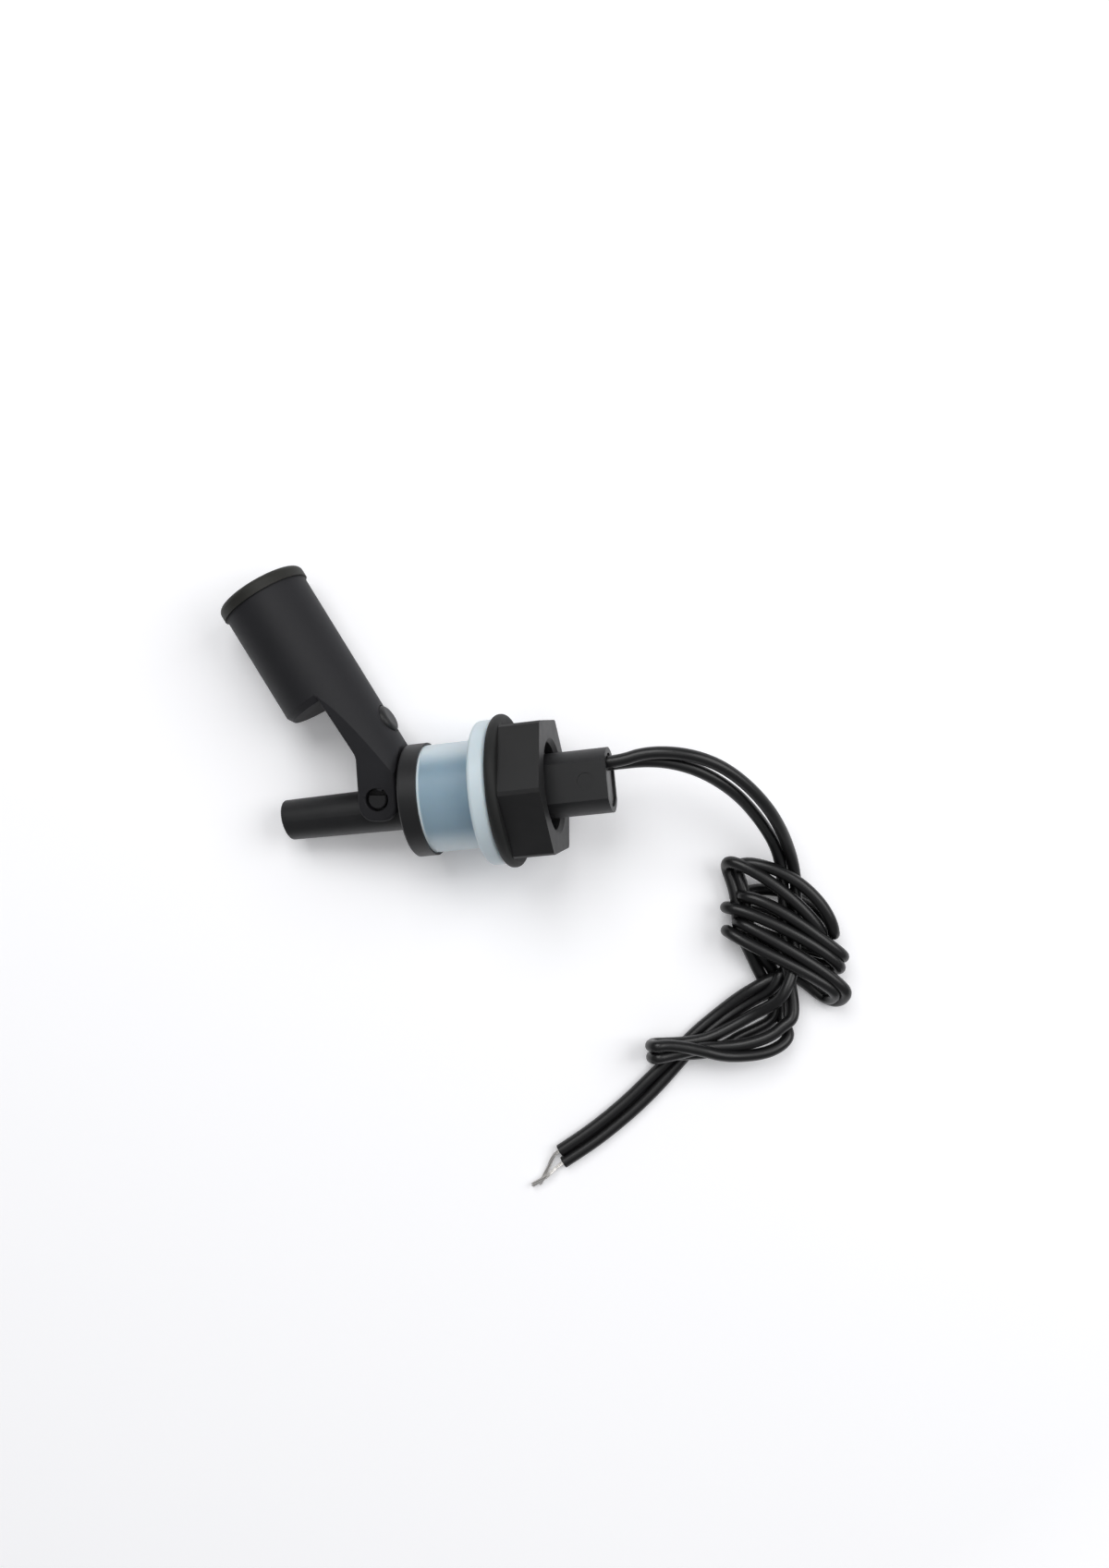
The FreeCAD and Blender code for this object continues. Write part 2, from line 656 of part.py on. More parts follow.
def slab(corners, radius, bottom, top, edge):
    """Closed solid with a rounded outline and rounded upper edges."""
    outline = rounded_outline([(x, y, radius) for x, y in corners])
    block = Part.Face(outline).extrude(Z_AXIS * (top - bottom))
    block.translate(Z_AXIS * bottom)
    rim = [line for line in block.Edges if line.BoundBox.ZMin > top - 0.01]
    return block.makeChamfer(edge, rim)


def wire_rod(place, start, end, radius=WIRE_RADIUS):
    """Straight stretch of a wire inside the stem at its (y, z) place."""
    return rod(radius, start, end, place[0], place[1])


def inner_wire(place, sleeve_start):
    """Wire from its solder sleeve out through the potting."""
    return wire_rod(place, sleeve_start + SLEEVE_LEAD, TAIL_END)


def wire_sleeve(place, sleeve_start):
    """Shrunk sleeve over the joint between a reed lead and a wire."""
    end = sleeve_start + SLEEVE_LENGTH
    inner = WIRE_RADIUS + SLEEVE_CLEARANCE
    outer = wire_rod(place, sleeve_start, end, inner + SLEEVE_WALL)
    return outer.cut(wire_rod(place, sleeve_start - 1, end + 1, inner))


def potting_plug():
    """Epoxy that seals the tail around the two wires."""
    plug = tail_cavity(POTTING_CLEARANCE, POTTING_START, TAIL_END - POTTING_RECESS)
    holes = [wire_rod(place, POTTING_START - 1, TAIL_END + 1, WIRE_RADIUS + POTTING_CLEARANCE)
             for place in (WIRE_A_PLACE, WIRE_B_PLACE)]
    return plug.cut(holes)


def glass_axis():
    """Height of the glass's axis in the stem frame."""
    return -PROBE_OFFSET - GLASS_OFFSET


def reed_glass():
    """Sealed glass capsule with a hole for a lead at each end."""
    half = GLASS_LENGTH / 2
    lead = LEAD_RADIUS + LEAD_CLEARANCE
    inner = GLASS_RADIUS - GLASS_WALL
    capsule = turned([
        (-half, lead),
        (-half, GLASS_RADIUS - GLASS_WALL),
        (-half + GLASS_WALL, GLASS_RADIUS),
        (half - GLASS_WALL, GLASS_RADIUS),
        (half, GLASS_RADIUS - GLASS_WALL),
        (half, lead),
        (half - GLASS_SEAL, lead),
        (half - GLASS_SEAL, inner),
        (-half + GLASS_SEAL, inner),
        (-half + GLASS_SEAL, lead),
    ])
    capsule.translate(Vector(GLASS_MIDDLE, glass_axis(), 0))
    return capsule


def blade(side):
    """Flat contact blade: side -1 comes from the tip's end, +1 from the leads' end."""
    near = GLASS_MIDDLE - side * BLADE_OVERLAP / 2
    far = GLASS_MIDDLE + side * (GLASS_LENGTH / 2 - GLASS_SEAL - BLADE_GAP)
    bottom = BLADE_GAP / 2 if side > 0 else -BLADE_GAP / 2 - BLADE_THICKNESS
    return Part.makeBox(abs(far - near), BLADE_WIDTH, BLADE_THICKNESS,
                        Vector(min(near, far), glass_axis() - BLADE_WIDTH / 2, bottom))


def lead_turn(place, start, height, entry):
    """Points that take a lead from its height in the stem to its wire's place."""
    bend = entry - LEAD_SLOPE_END
    return [(start, height, 0), (bend - LEAD_SLOPE, height, 0), (bend, *place), (entry + SLEEVE_LEAD, *place)]


def reed_blade_front():
    """Contact blade whose lead is folded back beside the glass."""
    level = glass_axis()
    fold = GLASS_MIDDLE - GLASS_LENGTH / 2 - LEAD_FOLD
    height = level + RETURN_OFFSET
    root = GLASS_MIDDLE - GLASS_LENGTH / 2 + GLASS_SEAL + BLADE_ROOT
    points = [(root, level, 0), (fold, level, 0)] + lead_turn(WIRE_A_PLACE, fold, height, SLEEVE_A_START)
    return bent_tube(points, LEAD_RADIUS, "front reed lead").fuse(blade(-1))


def reed_blade_rear():
    """Contact blade whose lead runs straight back."""
    root = GLASS_MIDDLE + GLASS_LENGTH / 2 - GLASS_SEAL - BLADE_ROOT
    points = lead_turn(WIRE_B_PLACE, root, glass_axis(), SLEEVE_B_START)
    return bent_tube(points, LEAD_RADIUS, "rear reed lead").fuse(blade(1))


# ---------------------------------------------------------------- assembly
def stem_pieces():
    """Pieces fixed to the stem, in the stem's frame."""
    return {
        "stem_housing": stem_housing(),
        "grommet": grommet(),
        "clamp_washer": clamp_washer(),
        "lock_nut": lock_nut(),
        "potting_plug": potting_plug(),
        "reed_glass": reed_glass(),
        "reed_blade_front": reed_blade_front(),
        "reed_blade_rear": reed_blade_rear(),
        "wire_sleeve_a": wire_sleeve(WIRE_A_PLACE, SLEEVE_A_START),
        "wire_sleeve_b": wire_sleeve(WIRE_B_PLACE, SLEEVE_B_START),
        "inner_wire_a": inner_wire(WIRE_A_PLACE, SLEEVE_A_START),
        "inner_wire_b": inner_wire(WIRE_B_PLACE, SLEEVE_B_START),
    }


def float_pieces():
    """Pieces that swing with the float, in the float's frame."""
    return {
        "float_arm": float_arm(),
        "float_cap": float_cap(),
        "magnet": magnet(),
        "magnet_cover": magnet_cover(),
    }


def rest_angles(stem, swinging):
    """Tilt and roll at which disc, clamped stack and float all touch the surface."""
    front = disc_and_shank()
    stack = Part.makeCompound([stem["grommet"], stem["clamp_washer"], stem["lock_nut"]])
    float_group = Part.makeCompound([swinging["float_arm"], swinging["float_cap"]])
    tilt = balance(lambda angle: lowest(stack, angle, 0) - lowest(front, angle, 0), 0, MOST_TILT)
    roll = balance(lambda angle: lowest(float_group, tilt, angle) - lowest(front, tilt, angle), 0, MOST_ROLL)
    return tilt, roll


def stripped_end(tail, points, label):
    """Bare strands that leave a tail straight ahead and follow the points."""
    end = Vector(*tail[-1])
    ahead = (end - Vector(*tail[-2])).normalize()
    return bent_tube([tuple(end), tuple(end + ahead * TIP_STRAIGHT)] + points, TIP_RADIUS, label)


def wires(exits, stem_direction):
    """Free wires: tubes outside the coils, a solid for each coil and the bare ends."""
    starts = [[tuple(start), tuple(start + stem_direction * EXIT_STRAIGHT)] for start in exits]
    hank = slab(HANK_OUTLINE, HANK_CORNER, 0, HANK_HEIGHT, HANK_EDGE)
    loop = slab(LOOP_OUTLINE, LOOP_CORNER, 0, LOOP_HEIGHT, LOOP_EDGE).cut(hank)
    run_a = bent_tube(starts[0] + RUN_A, WIRE_RADIUS, "lead_a_run").cut(hank)
    run_b = bent_tube(starts[1] + RUN_B, WIRE_RADIUS, "lead_b_run").cut(hank)
    return {
        "lead_hank": hank,
        "lead_loop": loop,
        "lead_a_run": run_a,
        "lead_b_run": run_b,
        "lead_a_tail": bent_tube(TAIL_A, WIRE_RADIUS, "lead_a_tail").cut(loop),
        "lead_b_tail": bent_tube(TAIL_B, WIRE_RADIUS, "lead_b_tail").cut(loop),
        "lead_tip_a": stripped_end(TAIL_A, TIP_A, "lead_tip_a"),
        "lead_tip_b": stripped_end(TAIL_B, TIP_B, "lead_tip_b"),
    }


def placed_point(point, tilt, roll, shift):
    """Stem-frame point in the laid frame."""
    vertex = laid(Part.Vertex(Vector(*point)), tilt, roll)
    return vertex.Point + shift


def main():
    """Build every piece, lay the switch down and write one STEP file per piece."""
    os.makedirs("parts", exist_ok=True)
    stem = stem_pieces()
    raised = raised_angle()
    swinging = {name: into_stem_frame(shape, raised) for name, shape in float_pieces().items()}
    tilt, roll = rest_angles(stem, swinging)
    rigid = {name: laid(shape, tilt, roll) for name, shape in {**stem, **swinging}.items()}
    box = Part.makeCompound(list(rigid.values())).optimalBoundingBox(False, False)
    shift = Vector(-box.Center.x, -box.Center.y, -box.ZMin)
    for shape in rigid.values():
        shape.translate(shift)
    exits = [placed_point((TAIL_END, *place), tilt, roll, shift) for place in (WIRE_A_PLACE, WIRE_B_PLACE)]
    stem_direction = placed_point(X_AXIS, tilt, roll, shift) - placed_point((0, 0, 0), tilt, roll, shift)
    pieces = {**rigid, **wires(exits, stem_direction)}
    for name, shape in pieces.items():
        print(name, "valid", shape.isValid(), "solids", len(shape.Solids), "volume", round(shape.Volume, 2))
        shape.exportStep("parts/" + name + ".step")
    print("raised", raised, "tilt", tilt, "roll", roll)
    print("pivot", placed_point(PIVOT, tilt, roll, shift))
    print("pivot axis", placed_point(PIVOT + Z_AXIS, tilt, roll, shift) - placed_point(PIVOT, tilt, roll, shift))
    print("stem axis", stem_direction)
    print("flange face centre", placed_point((FLANGE_FACE, 0, 0), tilt, roll, shift))
    print("exits", exits)


main()
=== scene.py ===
"""Looks of a side-mounted float level switch, dressed over its CAD frame.

The switch lies on a pale floor as it rests there: disc rim, washer rim and float cap touch the floor, and
the two wire leads are wound into a hank beside it. All lengths are in metres.
"""

import json
import logging
import math
from dataclasses import dataclass
from enum import Enum

import bpy
from mathutils import Matrix, Vector


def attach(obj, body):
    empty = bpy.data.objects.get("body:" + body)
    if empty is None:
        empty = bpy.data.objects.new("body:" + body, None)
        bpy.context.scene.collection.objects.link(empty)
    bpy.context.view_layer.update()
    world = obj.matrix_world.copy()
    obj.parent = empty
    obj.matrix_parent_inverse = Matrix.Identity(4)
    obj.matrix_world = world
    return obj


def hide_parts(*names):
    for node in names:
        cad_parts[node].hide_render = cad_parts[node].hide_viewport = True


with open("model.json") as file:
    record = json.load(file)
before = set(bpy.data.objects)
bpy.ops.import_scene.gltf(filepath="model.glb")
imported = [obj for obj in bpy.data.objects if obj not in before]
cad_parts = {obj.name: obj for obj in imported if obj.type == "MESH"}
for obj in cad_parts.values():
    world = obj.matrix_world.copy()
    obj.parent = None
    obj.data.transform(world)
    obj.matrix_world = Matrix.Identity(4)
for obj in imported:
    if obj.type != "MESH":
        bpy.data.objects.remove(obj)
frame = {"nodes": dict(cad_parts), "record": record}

LOG = logging.getLogger("float_switch")
MM = 0.001

Point = tuple[float, float, float]
Color = tuple[float, float, float]
Pair = tuple[float, float]

# wires
WIRE_DIAMETER = 0.0023
WIRE_STEPS = 10              # points per span along the wire
WIRE_ROUNDNESS = 5           # steps of the wire's round section
SPLINE_ORDER = 3

# bare strands, one in the middle and the rest round it
STRAND_DIAMETER = 0.00027
STRAND_COUNT = 7
STRAND_STEPS = 12
STRAND_ROUNDNESS = 2
STRAND_TWIST = 0.9           # radians from one point to the next
STRAND_SPLAY = 0.12          # growth of the bundle from one point to the next
STRAND_SPREAD = 0.8          # outer strands' distance from the middle one, over their diameter

# what all finishes share
COAT_ROUGHNESS = 0.12
SCATTER_RADIUS = (0.5, 0.8, 1.0)
SCATTER_DEPTH = 1.5 * MM
PATCH_SHARE = 0.12           # grain size over the size of the slow patches
PATCH_DETAIL = 3.0
GRAIN_DETAIL = 2.0


class Lay(Enum):
    """Which half of a wound turn a point belongs to."""

    FRONT = 1
    BACK = -1


# ---------------------------------------------------------------- where things are
@dataclass(frozen=True)
class Stem:
    """The stem's own axes in the frame, read from the record's mounts.

    Attributes:
        axis: unit vector along the stem, from the pivot towards the leads.
        face: point on the stem's axis in the plane of the sealing face.
        side: unit vector across the stem, level with the floor.
        up: unit vector across the stem, away from the floor.
    """

    axis: Vector
    face: Vector
    side: Vector
    up: Vector

    @classmethod
    def from_record(cls, record: dict) -> "Stem":
        """Build the stem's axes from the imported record.

        Args:
            record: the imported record, with its list of mounts.

        Returns:
            The stem's axes.
        """
        mounts = {mount["name"]: mount for mount in record["mounts"]}
        axis = -Vector(mounts["tank_wall_hole"]["axis"])
        hole = Vector(mounts["tank_wall_hole"]["pos_m"])
        ring = Vector(mounts["tank_seal_face"]["pos_m"])
        face = hole + axis * (ring - hole).dot(axis)
        side = Vector((0, 1, 0))
        return cls(axis, face, side, axis.cross(side).normalized())


# ---------------------------------------------------------------- materials
@dataclass(frozen=True)
class Finish:
    """How one surface looks.

    Attributes:
        name: material name.
        color: base colour, linear.
        tint: second base colour that a slow noise mixes in.
        roughness: lowest and highest roughness.
        grain: size of the fine surface grain in metres.
        bump: depth of the grain in metres.
        specular: specular level.
        metallic: metallic value.
        transmission: transmission weight.
        ior: refractive index.
        coat: clear coat weight.
        scatter: subsurface weight.
    """

    name: str
    color: Color
    tint: Color
    roughness: Pair
    grain: float
    bump: float
    specular: float = 0.5
    metallic: float = 0.0
    transmission: float = 0.0
    ior: float = 1.49
    coat: float = 0.0
    scatter: float = 0.0


HOUSING_PLASTIC = Finish("housing_plastic", (0.0075, 0.0078, 0.0085), (0.012, 0.012, 0.013), (0.40, 0.52),
                         0.35 * MM, 0.006 * MM, specular=0.38)
FLOAT_PLASTIC = Finish("float_plastic", (0.011, 0.011, 0.013), (0.015, 0.015, 0.0175), (0.52, 0.64),
                       0.4 * MM, 0.006 * MM, specular=0.28)
CAP_PLASTIC = Finish("cap_plastic", (0.014, 0.014, 0.012), (0.02, 0.02, 0.017), (0.5, 0.6),
                     0.4 * MM, 0.006 * MM, specular=0.3)
NUT_PLASTIC = Finish("nut_plastic", (0.006, 0.006, 0.0065), (0.010, 0.010, 0.0105), (0.42, 0.55),
                     0.3 * MM, 0.008 * MM, specular=0.38)
WASHER_RUBBER = Finish("washer_rubber", (0.008, 0.0085, 0.0085), (0.013, 0.0135, 0.013), (0.55, 0.68),
                       0.25 * MM, 0.006 * MM, specular=0.3)
GROMMET = Finish("grommet_elastomer", (0.46, 0.66, 0.80), (0.52, 0.70, 0.82), (0.3, 0.4),
                 0.8 * MM, 0.004 * MM, transmission=0.55, ior=1.41, scatter=0.3)
EPOXY = Finish("potting_epoxy", (0.012, 0.012, 0.012), (0.018, 0.018, 0.018), (0.32, 0.42),
               1.2 * MM, 0.01 * MM)
WIRE_PVC = Finish("wire_pvc", (0.0045, 0.0045, 0.005), (0.0075, 0.0075, 0.008), (0.30, 0.38),
                  0.5 * MM, 0.004 * MM, specular=0.45)
SLEEVE = Finish("sleeve_film", (0.012, 0.012, 0.012), (0.02, 0.02, 0.02), (0.4, 0.5), 0.4 * MM, 0.004 * MM)
TINNED = Finish("tinned_copper", (0.78, 0.77, 0.75), (0.62, 0.6, 0.57), (0.22, 0.4), 0.2 * MM, 0.004 * MM,
                metallic=1.0)
REED_METAL = Finish("reed_metal", (0.62, 0.59, 0.55), (0.5, 0.48, 0.45), (0.25, 0.4), 0.2 * MM, 0.002 * MM,
                    metallic=1.0)
REED_GLASS = Finish("reed_glass", (0.75, 0.92, 0.82), (0.78, 0.93, 0.84), (0.02, 0.06), 1.0 * MM, 0.001 * MM,
                    transmission=1.0, ior=1.52)
MAGNET_METAL = Finish("magnet_metal", (0.42, 0.42, 0.43), (0.34, 0.34, 0.35), (0.3, 0.45), 0.3 * MM,
                      0.003 * MM, metallic=1.0)


def grained_material(finish: Finish) -> bpy.types.Material:
    """Make the node material of one finish, in object coordinates.

    Args:
        finish: the surface to make.

    Returns:
        The new material.
    """
    material = bpy.data.materials.new(finish.name)
    material.use_nodes = True
    nodes = material.node_tree.nodes
    links = material.node_tree.links
    shader = nodes["Principled BSDF"]
    shader.inputs["Specular IOR Level"].default_value = finish.specular
    shader.inputs["Metallic"].default_value = finish.metallic
    shader.inputs["Transmission Weight"].default_value = finish.transmission
    shader.inputs["IOR"].default_value = finish.ior
    shader.inputs["Coat Weight"].default_value = finish.coat
    shader.inputs["Coat Roughness"].default_value = COAT_ROUGHNESS
    shader.inputs["Subsurface Weight"].default_value = finish.scatter
    shader.inputs["Subsurface Radius"].default_value = SCATTER_RADIUS
    shader.inputs["Subsurface Scale"].default_value = SCATTER_DEPTH

    place = nodes.new("ShaderNodeTexCoord")
    patches = nodes.new("ShaderNodeTexNoise")
    patches.inputs["Scale"].default_value = PATCH_SHARE / finish.grain
    patches.inputs["Detail"].default_value = PATCH_DETAIL
    links.new(place.outputs["Object"], patches.inputs["Vector"])

    color = nodes.new("ShaderNodeMix")
    color.data_type = "RGBA"
    color.inputs["A"].default_value = (*finish.color, 1)
    color.inputs["B"].default_value = (*finish.tint, 1)
    links.new(patches.outputs["Fac"], color.inputs["Factor"])
    links.new(color.outputs["Result"], shader.inputs["Base Color"])

    gloss = nodes.new("ShaderNodeMapRange")
    gloss.inputs["To Min"].default_value = finish.roughness[0]
    gloss.inputs["To Max"].default_value = finish.roughness[1]
    links.new(patches.outputs["Fac"], gloss.inputs["Value"])
    links.new(gloss.outputs["Result"], shader.inputs["Roughness"])

    grain = nodes.new("ShaderNodeTexNoise")
    grain.inputs["Scale"].default_value = 1 / finish.grain
    grain.inputs["Detail"].default_value = GRAIN_DETAIL
    links.new(place.outputs["Object"], grain.inputs["Vector"])
    bump = nodes.new("ShaderNodeBump")
    bump.inputs["Strength"].default_value = 1.0
    bump.inputs["Distance"].default_value = finish.bump
    links.new(grain.outputs["Fac"], bump.inputs["Height"])
    links.new(bump.outputs["Normal"], shader.inputs["Normal"])
    return material


def ramped(nodes: bpy.types.Nodes, links: bpy.types.NodeLinks, value: bpy.types.NodeSocket,
           low: float, high: float) -> bpy.types.NodeSocket:
    """Smooth step of a value between two limits.

    Args:
        nodes: the material's nodes.
        links: the material's links.
        value: socket with the value.
        low: value at which the step starts.
        high: value at which it ends.

    Returns:
        Socket that goes from 0 to 1.
    """
    step = nodes.new("ShaderNodeMapRange")
    step.interpolation_type = "SMOOTHSTEP"
    step.inputs["From Min"].default_value = low
    step.inputs["From Max"].default_value = high
    links.new(value, step.inputs["Value"])
    return step.outputs["Result"]


def along(nodes: bpy.types.Nodes, links: bpy.types.NodeLinks, place: bpy.types.NodeSocket,
          direction: Vector) -> bpy.types.NodeSocket:
    """Distance of the surface point along a direction.

    Args:
        nodes: the material's nodes.
        links: the material's links.
        place: socket with the object coordinates.
        direction: unit vector.

    Returns:
        Socket with the distance in metres.
    """
    reach = nodes.new("ShaderNodeVectorMath")
    reach.operation = "DOT_PRODUCT"
    reach.inputs[1].default_value = tuple(direction)
    links.new(place, reach.inputs[0])
    return reach.outputs["Value"]


def greater(nodes: bpy.types.Nodes, links: bpy.types.NodeLinks, first: bpy.types.NodeSocket,
            second: bpy.types.NodeSocket) -> bpy.types.NodeSocket:
    """Greater of two values.

    Args:
        nodes: the material's nodes.
        links: the material's links.
        first: socket with one value.
        second: socket with the other.

    Returns:
        Socket with the greater one.
    """
    most = nodes.new("ShaderNodeMath")
    most.operation = "MAXIMUM"
    links.new(first, most.inputs[0])
    links.new(second, most.inputs[1])
    return most.outputs["Value"]


@dataclass(frozen=True)
class CloudyElastomerWithPaintedLight:
    """Clear blue elastomer, milky at its flange, with painted light at its sides: beside the shank they are
    painted pale and less clear for the light passing through there.

    Attributes:
        base: the finish of the clear middle.
        milk_and_painted_light: colour of the milky flange and lip, and the painted light of the pale sides
            beside the shank, linear.
        milk_and_painted_light_clearness: transmission weight of those parts.
        middle: half width of the clear middle.
        edge: distance from the stem's axis at which the sides are fully painted pale.
        rim: length of the milky lip at the disc.
        barrel: length from the disc to the flange.
        blend: half the length over which the flange turns milky.
    """

    base: Finish
    milk_and_painted_light: Color = (0.68, 0.78, 0.83)
    milk_and_painted_light_clearness: float = 0.12
    middle: float = 5.2 * MM
    edge: float = 9.0 * MM
    rim: float = 0.5 * MM
    barrel: float = 10.1 * MM
    blend: float = 0.2 * MM

    def material(self, stem: Stem) -> bpy.types.Material:
        """Make the node material.

        Args:
            stem: the stem's axes.

        Returns:
            The new material.
        """
        material = grained_material(self.base)
        nodes = material.node_tree.nodes
        links = material.node_tree.links
        shader = nodes["Principled BSDF"]
        place = next(node for node in nodes if node.type == "TEX_COORD").outputs["Object"]
        face = stem.face.dot(stem.axis)
        reach = along(nodes, links, place, stem.axis)
        flange = ramped(nodes, links, reach, face - self.blend, face + self.blend)
        lip = ramped(nodes, links, reach, face - self.barrel + self.rim, face - self.barrel + 0.5 * self.rim)
        # painted light: the sides beside the shank are painted paler and less clear, for the light passing
        # through there
        across = along(nodes, links, place, stem.side)
        middle = stem.face.dot(stem.side)
        left = ramped(nodes, links, across, middle + self.middle, middle + self.edge)
        right = ramped(nodes, links, across, middle - self.middle, middle - self.edge)
        # share of milk at the flange and lip, and of painted light at the sides
        share = flange
        for other in (lip, left, right):
            share = greater(nodes, links, share, other)
        mix = nodes.new("ShaderNodeMix")
        mix.data_type = "RGBA"
        mix.inputs["B"].default_value = (*self.milk_and_painted_light, 1)
        links.new(shader.inputs["Base Color"].links[0].from_socket, mix.inputs["A"])
        links.new(share, mix.inputs["Factor"])
        links.new(mix.outputs["Result"], shader.inputs["Base Color"])
        clear = nodes.new("ShaderNodeMapRange")
        clear.inputs["To Min"].default_value = self.base.transmission
        clear.inputs["To Max"].default_value = self.milk_and_painted_light_clearness
        links.new(share, clear.inputs["Value"])
        links.new(clear.outputs["Result"], shader.inputs["Transmission Weight"])
        return material


def dress(node: str, material: bpy.types.Material) -> None:
    """Give a carried-over CAD node its material.

    Args:
        node: name of the CAD node.
        material: its new material.
    """
    for holder in frame["nodes"][node].material_slots:
        holder.material = material
    LOG.info("%s: %s", node, material.name)


# ---------------------------------------------------------------- float arm
@dataclass
class ArmRoot:
    """Flush band where the arm runs out into the float's lower end.

    Attributes:
        centre: point on the float's axis where its full width starts.
        along: unit vector from the pivot to the float's cap.
        back: unit vector across the arm, towards its back.
        radius: radius of the float.
        start: how far the band starts before the centre, along the axis.
        end: how far it ends past the centre.
        depth: how deep it sits in the wall.
        half_angle: half of its angle about the float's axis, in degrees.
        steps: faces round the band.
        merge: distance below which its points are merged.
        smooth_angle: greatest angle between faces that shade as one, in degrees.
    """

    centre: Point = (-0.01712, 0.005255, 0.008943)
    along: Point = (-0.43084, 0.90233, -0.01304)
    back: Point = (0.87944, 0.42306, 0.21819)
    radius: float = 8.252 * MM
    start: float = 0.48 * MM
    end: float = 0.04 * MM
    depth: float = 0.4 * MM
    half_angle: float = 82.6
    steps: int = 64
    merge: float = 0.001 * MM
    smooth_angle: float = 30.0

    def build(self, material: bpy.types.Material) -> None:
        """Spin the band's section about the float's axis.

        Args:
            material: the arm's plastic.
        """
        axis = Vector(self.along).normalized()
        back = Vector(self.back)
        back = (back - axis * back.dot(axis)).normalized()
        centre = Vector(self.centre)
        bpy.ops.object.select_all(action="DESELECT")
        bpy.ops.mesh.primitive_plane_add(size=1, location=(0, 0, 0))
        piece = bpy.context.object
        piece.name = "arm_root"
        first = Matrix.Rotation(math.radians(-self.half_angle), 3, axis) @ back
        for corner in piece.data.vertices:
            run = -self.start if corner.co.x < 0 else self.end
            reach = self.radius - self.depth if corner.co.y < 0 else self.radius
            corner.co = centre + axis * run + first * reach
        bpy.ops.object.mode_set(mode="EDIT")
        bpy.ops.mesh.select_all(action="SELECT")
        sweep = math.radians(-2 * self.half_angle)
        bpy.ops.mesh.spin(steps=self.steps, angle=sweep, center=centre, axis=axis)
        bpy.ops.mesh.select_all(action="SELECT")
        bpy.ops.mesh.remove_doubles(threshold=self.merge)
        bpy.ops.mesh.fill_holes(sides=4)
        bpy.ops.mesh.select_all(action="SELECT")
        bpy.ops.mesh.normals_make_consistent(inside=False)
        bpy.ops.object.mode_set(mode="OBJECT")
        bpy.ops.object.shade_smooth_by_angle(angle=math.radians(self.smooth_angle))
        piece.data.materials.append(material)
        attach(piece, "float")
        LOG.info("arm_root: %d faces", len(piece.data.polygons))


# ---------------------------------------------------------------- leads
@dataclass(frozen=True)
class Turn:
    """One turn of a lead round the hank.

    Attributes:
        left: plan position of the turn's left fold.
        right: plan position of its right fold.
        bow: how far the front strand bows away from the straight line, towards the stem.
        lean: shifts the bow towards the left fold, or the right fold when negative.
        peak: how pointed the bow is.
        back_bow: bow of the back strand, towards the stem.
    """

    left: Pair
    right: Pair
    bow: float
    lean: float = 0.0
    peak: float = 1.0
    back_bow: float = 0.0


TURN_POINTS = 14             # points in one full turn
TURN_MIDDLE = 0.0043         # height of the hank's middle
TURN_RISE = 0.00315          # from there to its upper and lower strands
TURN_SQUARENESS = 0.62       # the lower, the flatter the strands and the steeper the folds


def turn_points(turn: Turn, following: Pair | None) -> list[Vector]:
    """Points of one turn, from its left fold over the front and back underneath.

    Args:
        turn: the turn.
        following: plan position that the back strand heads for, or None for a last turn
            that ends at its right fold.

    Returns:
        List of points in the frame.
    """
    left = Vector((*turn.left, 0))
    right = Vector((*turn.right, 0))
    onward = Vector((*(following or turn.left), 0))
    towards = Vector((0, 0, 1)).cross(right - left).normalized()
    points = []
    for index in range(TURN_POINTS if following else TURN_POINTS // 2):
        angle = 2 * math.pi * (index + 0.5) / TURN_POINTS
        lay = Lay.FRONT if angle < math.pi else Lay.BACK
        share = (1 - math.cos(angle)) / 2
        swing = abs(math.sin(angle))
        if lay is Lay.FRONT:
            bow = turn.bow * (swing ** turn.peak + turn.lean * math.sin(2 * angle))
            plan = left.lerp(right, share) + towards * bow
        else:
            plan = onward.lerp(right, share) + towards * turn.back_bow * swing
        height = TURN_MIDDLE + lay.value * TURN_RISE * swing ** TURN_SQUARENESS
        points.append(plan + Vector((0, 0, height)))
    return points


